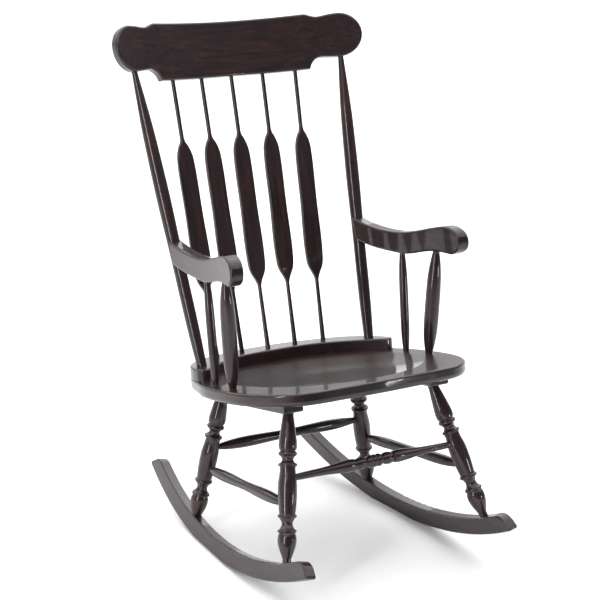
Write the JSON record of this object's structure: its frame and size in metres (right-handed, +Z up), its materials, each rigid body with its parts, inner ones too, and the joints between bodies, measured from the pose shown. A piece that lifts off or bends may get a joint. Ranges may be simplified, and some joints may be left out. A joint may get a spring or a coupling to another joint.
{
  "type": "rocking chair",
  "caption": "Arrow-back wooden rocking chair: saddled seat, turned splayed legs, flat-paddled spindles, scroll arms, shaped crest rail and curved rockers.",
  "frame": {"origin": "on the floor, under the middle of the bounding box, with the empty chair at rest on its rockers", "axes": "+Z up; +X towards the viewer's right, which is the sitter's left hand; +Y towards the back of the chair, so the sitter faces -Y"},
  "size_m": [0.6502, 0.8726, 1.1169],
  "materials": {
    "lacquered_wood": "espresso-stained rubberwood under gloss lacquer",
    "plug_wood": "espresso-stained wooden plug, lacquered",
    "screw_steel": "zinc-plated steel"
  },
  "bodies": {
    "root": {"seat": "lacquered_wood", "seat_back_rail": "lacquered_wood", "cleat_left": "lacquered_wood", "cleat_right": "lacquered_wood", "leg_front_left": "lacquered_wood", "leg_front_right": "lacquered_wood", "leg_rear_left": "lacquered_wood", "leg_rear_right": "lacquered_wood", "rocker_left": "lacquered_wood", "rocker_right": "lacquered_wood", "stretcher_front": "lacquered_wood", "stretcher_rear": "lacquered_wood", "stretcher_left": "lacquered_wood", "stretcher_right": "lacquered_wood", "post_left": "lacquered_wood", "post_right": "lacquered_wood", "spindle_1": "lacquered_wood", "spindle_2": "lacquered_wood", "spindle_3": "lacquered_wood", "spindle_4": "lacquered_wood", "spindle_5": "lacquered_wood", "crest_rail": "lacquered_wood", "arm_left": "lacquered_wood", "arm_right": "lacquered_wood", "arm_post_left": "lacquered_wood", "arm_post_right": "lacquered_wood", "arm_spindle_left": "lacquered_wood", "arm_spindle_right": "lacquered_wood", "arm_screw_plugs": "plug_wood", "crest_pins": "plug_wood", "rocker_screws": "screw_steel", "cleat_screws": "screw_steel", "back_rail_screws": "screw_steel", "arm_screws": "screw_steel"}
  },
  "joints": []
}
